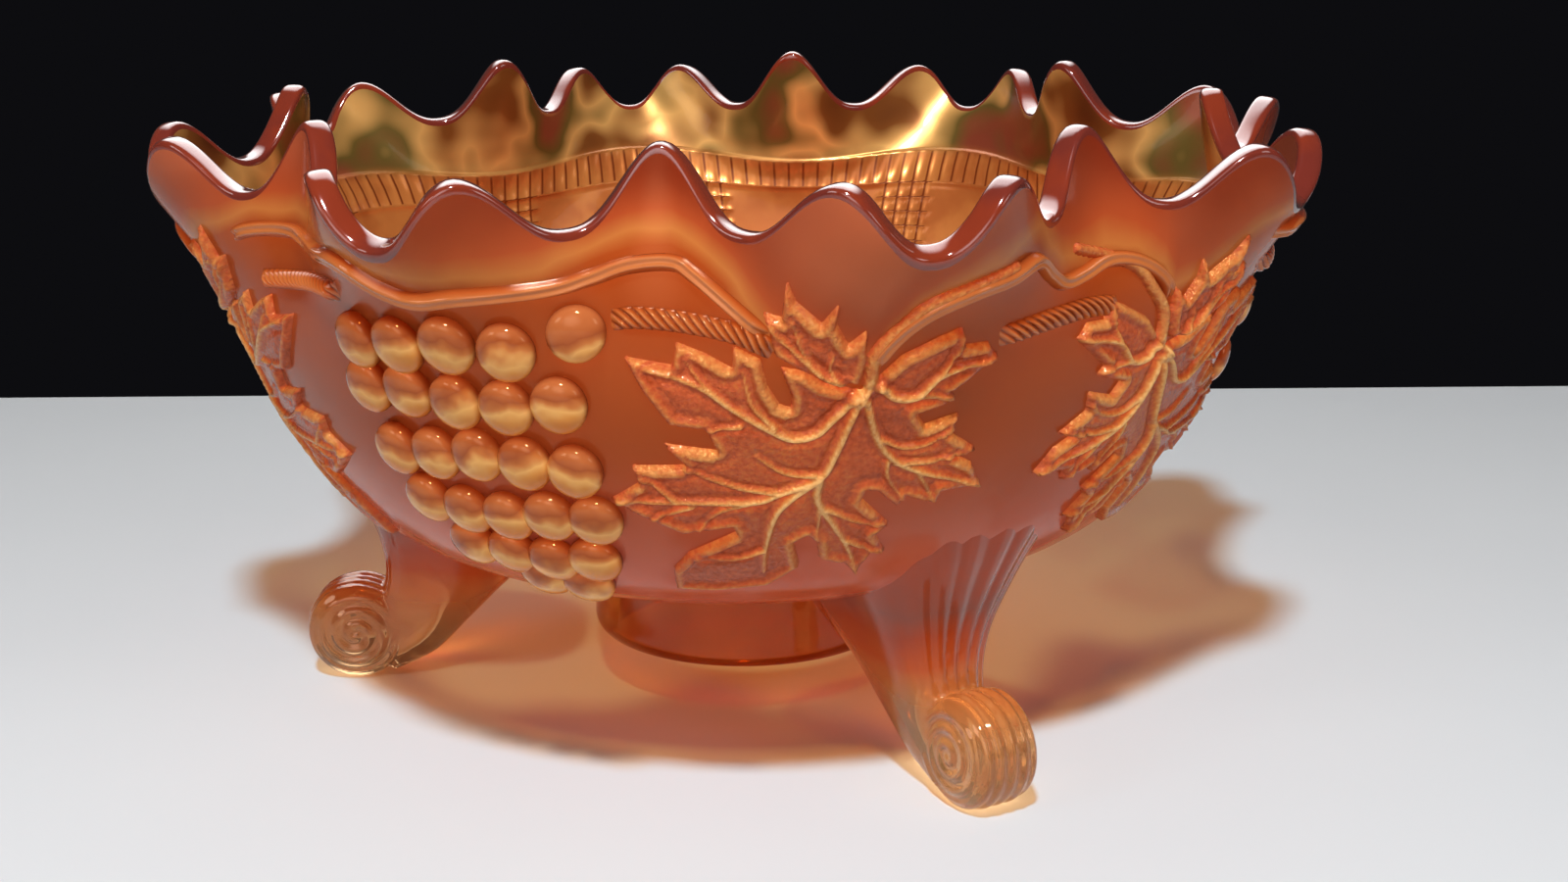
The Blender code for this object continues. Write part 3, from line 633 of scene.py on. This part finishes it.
def grapes(material):
    """In each third, a bunch in rows and one grape beside its top."""
    for section, start in SECTIONS.items():
        verts, faces = [], []
        tones = {"tone": [], "drop": []}
        total = 0
        for row, (distance, right, number, pitch) in enumerate(GRAPE_ROWS):
            for k in range(number):
                stray = GRAPE_STRAY * math.sin(2.3 * row + 1.7 * k)
                points, quads, tone = ball(start + BUNCH_ANGLE + right - pitch * k,
                                           distance + stray, GRAPE_HALF_WIDTH,
                                           GRAPE_HALF_HEIGHT, GRAPE_STANDS, GRAPE_SINKS)
                verts.append(points)
                faces += [tuple(i + total for i in quad) for quad in quads]
                for label, values in tone.items():
                    tones[label].append(values)
                total += len(points)
        new_piece("grapes_" + section, np.vstack(verts), faces, [material],
                  ["grape_bunch_" + section],
                  {label: np.concatenate(values) for label, values in tones.items()})
        points, quads, tone = ball(start + LONE_GRAPE[0], LONE_GRAPE[1], LONE_GRAPE_RADIUS,
                                   LONE_GRAPE_RADIUS, GRAPE_STANDS, GRAPE_SINKS)
        # Painted shade: the lone grape's dark top reaches further down.
        tone["drop"] = tone["drop"] + LONE_GRAPE_SHADE
        new_piece("single_grape_" + section, points, quads, [material],
                  ["lone_grape_" + section], tone)


def ribbon(path, half_width, step):
    """Angles, distances, lengths along and places across of a band that follows a path."""
    coarse = curve(path, 24)
    scale = np.radians(1) * wall_radius(coarse[:, 1])
    flat = np.stack([coarse[:, 0] * scale, coarse[:, 1]], axis=1)
    along = lengths(flat)
    u = np.linspace(0, along[-1], max(12, int(along[-1] / step)))
    angle = np.interp(u, along, coarse[:, 0])
    distance = np.interp(u, along, coarse[:, 1])
    radius = wall_radius(distance)
    run = np.stack([np.gradient(angle) * np.radians(1) * radius, np.gradient(distance)])
    run /= np.linalg.norm(run, axis=0)
    v = np.linspace(-1, 1, RIBBON_COLUMNS)[None, :] * half_width
    wide_angle = angle[:, None] + np.degrees(-run[1][:, None] * v / radius[:, None])
    wide_distance = distance[:, None] + run[0][:, None] * v
    return wide_angle, wide_distance, u[:, None] + 0 * v, v + 0 * u[:, None]


def vines(material):
    """In each third, smooth vine ridges and stems of two twisted strands."""
    for section, start in SECTIONS.items():
        for label, path in VINES.items():
            reach = VINE_WIDTH / 2 + VINE_MARGIN
            angle, distance, along, across = ribbon(path, reach, VINE_STEP)
            ends = np.minimum(along, along.max() - along)
            side = smooth((reach - np.abs(across)) / VINE_SLOPE)
            groove = VINE_GROOVE_DEPTH * bell(across, VINE_GROOVE_WIDTH)
            rise = side * smooth((ends + 0.5) / VINE_TAPER)
            height = RELIEF_EDGE + (VINE_LIFT - RELIEF_EDGE) * rise - groove * side
            # The tone paints light: a gold highlight on the ridge's top and painted shade at its
            # foot.
            relief("vine_ridge_" + label + "_" + section,
                   lambda lift, a=angle, d=distance: on_wall(a + start, d, lift), height,
                   [material], ["vine_" + label + "_" + section],
                   {"tone": side}, flip=True)
        for label, path in STEMS.items():
            reach = STEM_HALF_WIDTH + STEM_MARGIN
            angle, distance, along, across = ribbon(path, reach, STEM_STEP)
            ends = np.minimum(along, along.max() - along)
            share = across / STEM_HALF_WIDTH
            round_top = np.sqrt(np.clip(1 - share ** 2, 0, 1))
            strand = np.abs(np.sin(math.pi * (along + STRAND_SLANT * across) / STRAND_PITCH))
            height = STEM_LIFT * round_top * (1 - STRAND_GROOVE
                                              + STRAND_GROOVE * strand ** ROUNDNESS)
            height = np.where(np.abs(share) < 1, height, RELIEF_EDGE)
            height = height * smooth((ends + 0.4) / STEM_TAPER) - STEM_SINKS
            # The tone paints a highlight on each strand's crest and shade in the grooves between.
            relief("twisted_cord_" + label + "_" + section,
                   lambda lift, a=angle, d=distance: on_wall(a + start, d, lift), height,
                   [material], ["twisted_stem_" + label + "_" + section],
                   {"tone": strand * round_top}, flip=True)


# ---- feet ----
def capped_tube(rings, sides):
    """Faces of a tube of rings, closed at both ends."""
    faces = [tuple(f) for f in grid_faces(rings, sides, close_cols=True)]
    last = (rings - 1) * sides
    return faces + [tuple(reversed(range(sides))), tuple(range(last, last + sides))]


def leg_mesh():
    """The fluted leg in the foot's own plane: radius, height and sideways."""
    stations = curve(LEG_STATIONS, 8)
    a = np.arange(LEG_SIDES) * 2 * math.pi / LEG_SIDES
    across = np.sign(np.cos(a)) * np.abs(np.cos(a)) ** LEG_SQUARENESS
    side = np.sign(np.sin(a)) * np.abs(np.sin(a)) ** LEG_SQUARENESS
    flutes = np.abs(np.sin(side * math.pi / 2 * FLUTES)) ** FLUTE_ROUNDNESS
    verts = []
    for r_in, z_in, r_out, z_out, half_width in stations:
        thick = math.hypot(r_out - r_in, z_out - z_in)
        cut = FLUTE_DEPTH / thick * (1 - flutes) * (across > FLUTED_FROM)
        t = 0.5 + (0.5 - cut) * across
        verts.append(np.stack([r_in + (r_out - r_in) * t, z_in + (z_out - z_in) * t,
                               side * half_width], axis=1))
    return np.concatenate(verts), capped_tube(len(stations), LEG_SIDES)


def scroll_mesh():
    """The curled end: ribs run round its rim, and a spiral ridge winds in on each side."""
    a = np.arange(SCROLL_SIDES) * 2 * math.pi / SCROLL_SIDES
    rings = []
    face_radius = SCROLL_RADIUS - SCROLL_EDGE
    face_radii = np.linspace(SCROLL_EYE, face_radius, SCROLL_FACE_RINGS)

    def face_width(radius):
        wind = (radius / SPIRAL_PITCH - a / (2 * math.pi)) % 1
        ridge = np.sin(math.pi * wind) ** 2
        bulge = SCROLL_HALF_WIDTH + SCROLL_BULGE * (1 - (radius / SCROLL_RADIUS) ** 2)
        return bulge - SPIRAL_DEPTH + SPIRAL_DEPTH * ridge

    for radius in face_radii:
        rings.append((radius, -face_width(radius)))
    for share in np.linspace(-1, 1, SCROLL_RIM_RINGS):
        ribs = np.abs(np.cos(math.pi * share * SCROLL_HALF_WIDTH / RIB_PITCH))
        round_edge = (1 - abs(share) ** 5) * SCROLL_EDGE
        radius = face_radius + round_edge - RIB_DEPTH * (1 - ribs ** ROUNDNESS)
        rings.append((radius, np.full(SCROLL_SIDES, share * SCROLL_HALF_WIDTH)))
    for radius in face_radii[::-1]:
        rings.append((radius, face_width(radius)))
    verts = np.concatenate([np.stack([SCROLL_CENTRE[0] + r * np.cos(a),
                                      SCROLL_CENTRE[1] + r * np.sin(a), w], axis=1)
                            for r, w in rings])
    return verts, capped_tube(len(rings), SCROLL_SIDES)


def fused(parts):
    """One closed skin round several overlapping solids, as arrays in millimetres."""
    verts, faces = [], []
    for points, quads in parts:
        offset = sum(len(v) for v in verts)
        verts.append(points)
        faces += [[int(i) + offset for i in quad] for quad in quads]
    mesh = bpy.data.meshes.new("fusing")
    mesh.from_pydata(np.vstack(verts).tolist(), [], faces)
    obj = add_object("fusing", mesh)
    remesh = obj.modifiers.new("remesh", "REMESH")
    remesh.mode = "VOXEL"
    remesh.voxel_size = FOOT_VOXEL
    soften = obj.modifiers.new("soften", "SMOOTH")
    soften.iterations = FOOT_SOFTENING
    bpy.context.view_layer.update()
    result = obj.evaluated_get(bpy.context.evaluated_depsgraph_get()).to_mesh()
    co = np.empty(len(result.vertices) * 3, np.float32)
    result.vertices.foreach_get("co", co)
    quads = [tuple(p.vertices) for p in result.polygons]
    obj.to_mesh_clear()
    bpy.data.objects.remove(obj, do_unlink=True)
    bpy.data.meshes.remove(mesh)
    return co.reshape(-1, 3).astype(float), quads


def feet(material):
    """Three equal feet, each trimmed at the table and where its leg runs into the wall."""
    points, faces = fused([leg_mesh(), scroll_mesh()])
    faces = [face[::-1] for face in faces]     # the foot's own axes are left-handed
    radius = np.hypot(points[:, 0], points[:, 2])
    ceiling = np.interp(radius, PROFILE[:, 0], PROFILE[:, 1]) + FOOT_IN_WALL
    height = np.clip(points[:, 1], 0.0, np.maximum(ceiling, 1))
    for label, angle in FEET.items():
        verts = around(angle, points[:, 0], height, points[:, 2])
        new_piece("curled_foot_" + label, verts, faces, [material], ["scroll_foot_" + label],
                  {"up": height})


# ---- materials ----
def tint(red, green, blue):
    """A colour socket's value from everyday 0 to 255 values."""
    linear = [(c / 255 / 12.92) if c < 10 else ((c / 255 + 0.055) / 1.055) ** 2.4
              for c in (red, green, blue)]
    return (*linear, 1)


class Nodes:
    """Short names for adding and linking nodes in one tree."""

    def __init__(self, tree):
        self.tree = tree

    def add(self, kind, **values):
        node = self.tree.nodes.new("ShaderNode" + kind)
        for key, value in values.items():
            setattr(node, key, value)
        return node

    def link(self, source, target):
        self.tree.links.new(source, target)

    def feed(self, sockets, values):
        """Link or set each socket; None leaves one as it is."""
        for socket, value in zip(sockets, values):
            if isinstance(value, bpy.types.NodeSocket):
                self.link(value, socket)
            elif value is not None:
                socket.default_value = value

    def attribute(self, name):
        return self.add("Attribute", attribute_name=name).outputs["Fac"]

    def math(self, operation, first, second, third=None):
        node = self.add("Math", operation=operation)
        self.feed(node.inputs, (first, second, third))
        return node.outputs[0]

    def span(self, value, low, high, first=0.0, last=1.0):
        """From first to last, softly, as a value goes from low to high."""
        node = self.add("MapRange", interpolation_type="SMOOTHSTEP")
        labels = ("Value", "From Min", "From Max", "To Min", "To Max")
        self.feed([node.inputs[label] for label in labels], (value, low, high, first, last))
        return node.outputs["Result"]

    def noise(self, scale, detail=3.0):
        node = self.add("TexNoise")
        place = self.add("TexCoord")
        self.link(place.outputs["Object"], node.inputs["Vector"])
        node.inputs["Scale"].default_value = scale
        node.inputs["Detail"].default_value = detail
        return node.outputs["Fac"]

    def drift(self, scale, reach, detail=3.0):
        """Noise about zero, over a range of reach."""
        return self.math("MULTIPLY_ADD", self.noise(scale, detail), reach, -reach / 2)

    def ramp(self, value, stops):
        node = self.add("ValToRGB")
        elements = node.color_ramp.elements
        while len(elements) < len(stops):
            elements.new(0.5)
        for element, (place, colour) in zip(elements, stops):
            element.position = place
            element.color = tint(*colour)
        self.link(value, node.inputs["Fac"])
        return node.outputs["Color"]

    def mix(self, factor, first, second):
        node = self.add("Mix", data_type="RGBA")
        self.feed((node.inputs[0], node.inputs[6], node.inputs[7]), (factor, first, second))
        return node.outputs[2]


class Look(Nodes):
    """The nodes of one new material."""

    def __init__(self, name):
        self.material = bpy.data.materials.new(name)
        self.material.use_nodes = True
        super().__init__(self.material.node_tree)
        self.shader = self.tree.nodes["Principled BSDF"]
        self.output = self.tree.nodes["Material Output"]

    def bump(self, height, strength, depth):
        node = self.add("Bump")
        node.inputs["Strength"].default_value = strength
        node.inputs["Distance"].default_value = depth
        self.link(height, node.inputs["Height"])
        self.link(node.outputs["Normal"], self.shader.inputs["Normal"])

    def glass(self, colour, roughness, transmission, metallic=0.0, coat=0.25,
              lamp=WALL_LAMP, sheen=(255, 190, 120)):
        """Finish the material: iridised glass that lets lamps through, tinted."""
        inputs = self.shader.inputs
        self.link(colour, inputs["Base Color"])
        inputs["Roughness"].default_value = roughness
        inputs["IOR"].default_value = 1.5
        inputs["Transmission Weight"].default_value = transmission
        inputs["Metallic"].default_value = metallic
        inputs["Coat Weight"].default_value = coat
        inputs["Coat Roughness"].default_value = 0.04
        inputs["Specular Tint"].default_value = tint(*sheen)
        inputs["Specular IOR Level"].default_value = 0.3
        clear = self.add("BsdfTransparent")
        clear.inputs["Color"].default_value = tint(*lamp)
        path = self.add("LightPath")
        mixer = self.add("MixShader")
        self.link(path.outputs["Is Shadow Ray"], mixer.inputs[0])
        self.link(self.shader.outputs[0], mixer.inputs[1])
        self.link(clear.outputs[0], mixer.inputs[2])
        self.link(mixer.outputs[0], self.output.inputs["Surface"])
        return self.material


def outer_glass():
    """Rust glass with a golden halo along the vine and a painted mauve sheen low down."""
    n = Look("iridised_outside")
    above = n.math("ADD", n.attribute("above_vine"), n.drift(26, 18))
    band = n.ramp(n.span(above, -14, 26),
                  [(0.0, (162, 68, 28)), (0.34, (170, 73, 28)), (0.46, (194, 113, 55)),
                   (0.62, (175, 74, 37)), (1.0, (138, 47, 24))])
    upper = n.mix(n.span(n.noise(9, 2), 0.42, 0.6), tint(128, 42, 20), tint(186, 92, 58))
    band = n.mix(n.span(above, 8, 22), band, upper)
    # Painted sheen: the iridised film's mauve reflection, painted into the colour low on the
    # wall.
    low = n.mix(n.span(n.noise(34), 0.42, 0.62), tint(196, 94, 70), tint(188, 70, 32))
    colour = n.mix(n.span(n.attribute("up"), 62, 104), low, band)
    n.bump(n.noise(120, 2), strength=0.05, depth=0.0006)
    return n.glass(colour, roughness=0.18, transmission=0.12, coat=0.04)


def rim_glass():
    """A glossy dark red edge."""
    n = Look("iridised_rim")
    colour = n.mix(n.span(n.noise(50), 0.4, 0.62), tint(110, 42, 32), tint(130, 48, 27))
    n.bump(n.noise(120, 2), strength=0.05, depth=0.0006)
    return n.glass(colour, roughness=0.1, transmission=0.1, coat=1.0, sheen=(255, 225, 230))


def inner_glass():
    """Olive, gold and red patches above the tiles, partly the film's colour and partly painted
    sheen, gold tiles, and a rust floor.
    """
    n = Look("iridised_inside")
    # Partly the film's own colour, partly painted sheen: the bright gold patches stand in for its
    # reflections.
    sheen = n.ramp(n.noise(28, 2),
                   [(0.34, (84, 40, 18)), (0.43, (120, 70, 30)), (0.5, (206, 156, 88)),
                    (0.57, (96, 80, 36)), (0.66, (128, 60, 40))])
    tiles = n.mix(n.span(n.noise(60), 0.4, 0.62), tint(192, 118, 58), tint(170, 94, 44))
    tiles = n.mix(n.span(n.attribute("joint"), 0.45, 0.9), tiles, tint(112, 48, 18))
    colour = n.mix(n.span(n.attribute("up"), 126.5, 131), tiles, sheen)
    colour = n.mix(n.span(n.attribute("up"), 60, 100), tint(176, 80, 34), colour)
    n.bump(n.noise(160, 2), strength=0.08, depth=0.0005)
    return n.glass(colour, roughness=0.3, transmission=0.12, metallic=0.25, coat=0.1,
                   sheen=(255, 220, 170))


def leaf_glass():
    """Stippled rust leaves, with painted gold highlights along their edges and veins and painted
    shade in their hollows.
    """
    n = Look("stippled_rust_painted_light")
    mottle = n.math("ADD", n.drift(900, 0.9, detail=2), n.drift(45, 0.8))
    tone = n.math("ADD", n.attribute("tone"), mottle)
    colour = n.ramp(n.span(tone, -1, 1.3),
                    [(0.0, (86, 26, 8)), (0.2, (148, 58, 26)), (0.42, (182, 80, 44)),
                     (0.62, (192, 104, 52)), (0.84, (208, 138, 74)), (1.0, (230, 178, 112))])
    n.bump(n.noise(1300, 2), strength=0.75, depth=0.00045)
    return n.glass(colour, roughness=0.2, transmission=0.1, coat=0.15, lamp=RELIEF_LAMP)


def grape_glass():
    """Painted light: a dark top over a bright golden lower half, as the dome bends light, and
    painted shade at its edge.
    """
    n = Look("iridised_peach")
    # Painted light: the height across the grape sets its dark top and bright golden lower half.
    drop = n.math("ADD", n.attribute("drop"), n.drift(75, 2.4))
    face = n.ramp(n.span(drop, -1, 1),
                  [(0.0, (206, 118, 46)), (0.24, (222, 146, 68)), (0.46, (236, 176, 100)),
                   (0.64, (196, 114, 56)), (0.8, (158, 76, 36)), (1.0, (182, 100, 54))])
    # Painted shade at the dome's edge, where it stands low.
    colour = n.mix(n.span(n.attribute("tone"), 0.12, 0.7), tint(122, 46, 16), face)
    n.bump(n.noise(300, 2), strength=0.05, depth=0.0004)
    return n.glass(colour, roughness=0.1, transmission=0.15, coat=0.2, lamp=RELIEF_LAMP)


def vine_glass():
    """Painted light on the vines and twisted stems: painted shade in rust in the grooves and a
    painted gold highlight on the crests.
    """
    n = Look("iridised_vine")
    tone = n.math("ADD", n.attribute("tone"), n.drift(80, 0.5))
    colour = n.ramp(tone, [(0.0, (104, 36, 8)), (0.5, (166, 76, 30)), (1.0, (188, 106, 54))])
    n.bump(n.noise(400, 2), strength=0.1, depth=0.0003)
    return n.glass(colour, roughness=0.12, transmission=0.12, coat=0.5, lamp=RELIEF_LAMP)


def clear_amber():
    """The collar's clear amber glass."""
    n = Look("clear_amber")
    colour = n.mix(n.span(n.noise(40), 0.4, 0.65), tint(196, 104, 38), tint(176, 84, 26))
    n.bump(n.noise(140, 2), strength=0.06, depth=0.0005)
    return n.glass(colour, roughness=0.05, transmission=0.75, coat=0.3, lamp=BASE_LAMP)


def foot_amber():
    """Clear at the curl, and tinted rust going grey-violet where it joins the bowl."""
    n = Look("amber_foot")
    up = n.math("ADD", n.attribute("up"), n.drift(50, 8))
    colour = n.ramp(n.span(up, 4, 62),
                    [(0.0, (214, 172, 122)), (0.26, (204, 124, 66)), (0.42, (184, 78, 30)),
                     (0.6, (162, 58, 22)), (0.74, (140, 66, 50)), (0.92, (164, 60, 30))])
    clear = n.math("MULTIPLY_ADD", n.span(up, 10, 40), -0.76, 0.84)
    n.link(clear, n.shader.inputs["Transmission Weight"])
    n.bump(n.noise(140, 2), strength=0.06, depth=0.0005)
    # The nodes linked above set the transmission; the plain value only stands behind them.
    return n.glass(colour, roughness=0.04, transmission=0.8, coat=0.5, lamp=BASE_LAMP)


# ---- stage ----
def table():
    """The pale table top, which ends behind the bowl."""
    mesh = bpy.data.meshes.new("table")
    side = TABLE_HALF_WIDTH * MM
    back = TABLE_BACK_EDGE * MM
    corners = [(-side, -side, 0), (side, -side, 0), (side, back, 0), (-side, back, 0)]
    mesh.from_pydata(corners, [], [(0, 1, 2, 3)])
    n = Look("pale_table")
    n.link(n.mix(n.noise(6), tint(214, 217, 219), tint(206, 209, 212)),
           n.shader.inputs["Base Color"])
    n.shader.inputs["Roughness"].default_value = 0.7
    n.shader.inputs["Specular IOR Level"].default_value = 0.1
    mesh.materials.append(n.material)
    add_object("table", mesh)


def room():
    """A room that is dark to the camera, with two bright patches that reflections see."""
    world = bpy.data.worlds.new("studio")
    bpy.context.scene.world = world
    world.use_nodes = True
    n = Nodes(world.node_tree)
    path = n.add("LightPath")
    place = n.add("TexCoord")
    towards = []
    for direction, share in ((CEILING_DIRECTION, 1), (WINDOW_DIRECTION, WINDOW_SHARE)):
        toward = n.add("VectorMath", operation="DOT_PRODUCT")
        n.feed(toward.inputs, (place.outputs["Generated"], [part * share for part in direction]))
        towards.append(toward.outputs["Value"])
    patches = n.span(n.math("MAXIMUM", *towards), *PATCH_FADES, ROOM_GLOW, PATCH_GLOW)
    shiny = n.mix(path.outputs["Is Glossy Ray"], ROOM_COLOUR, patches)
    seen = n.mix(path.outputs["Is Camera Ray"], shiny, BACKDROP_COLOUR)
    n.link(seen, world.node_tree.nodes["Background"].inputs["Color"])


def area_light(name, place, size, power):
    """A square soft light, turned to the bowl."""
    data = bpy.data.lights.new(name, "AREA")
    data.size = size
    data.energy = power
    light = add_object(name, data)
    light.location = place
    aim = Vector(LAMP_AIM) - Vector(place)
    light.rotation_euler = aim.to_track_quat("-Z", "Y").to_euler()


def camera():
    """The view from in front, a little above the rim, looking down at the bowl."""
    data = bpy.data.cameras.new("camera")
    data.lens = CAMERA_LENS
    data.sensor_width = 36
    data.clip_start = 0.01
    obj = add_object("camera", data)
    obj.location = Vector(CAMERA_PLACE) * MM
    tilt = Euler((math.radians(90 + CAMERA_PITCH), 0, 0)).to_matrix()
    roll = Euler((0, 0, math.radians(CAMERA_ROLL))).to_matrix()
    obj.rotation_euler = (tilt @ roll).to_euler()
    bpy.context.scene.camera = obj


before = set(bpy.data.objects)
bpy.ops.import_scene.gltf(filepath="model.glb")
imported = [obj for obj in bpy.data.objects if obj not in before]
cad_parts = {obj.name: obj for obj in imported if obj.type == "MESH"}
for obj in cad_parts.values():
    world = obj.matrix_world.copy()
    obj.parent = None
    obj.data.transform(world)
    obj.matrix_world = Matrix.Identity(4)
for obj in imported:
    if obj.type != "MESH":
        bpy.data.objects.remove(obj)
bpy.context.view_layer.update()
camera()
table()
room()
for lamp in LAMPS:
    area_light(*lamp)
bowl_wall([outer_glass(), inner_glass(), rim_glass()])
collar(clear_amber())
feet(foot_amber())
leaves(leaf_glass())
grapes(grape_glass())
vines(vine_glass())
bpy.context.scene.view_settings.view_transform = "Standard"
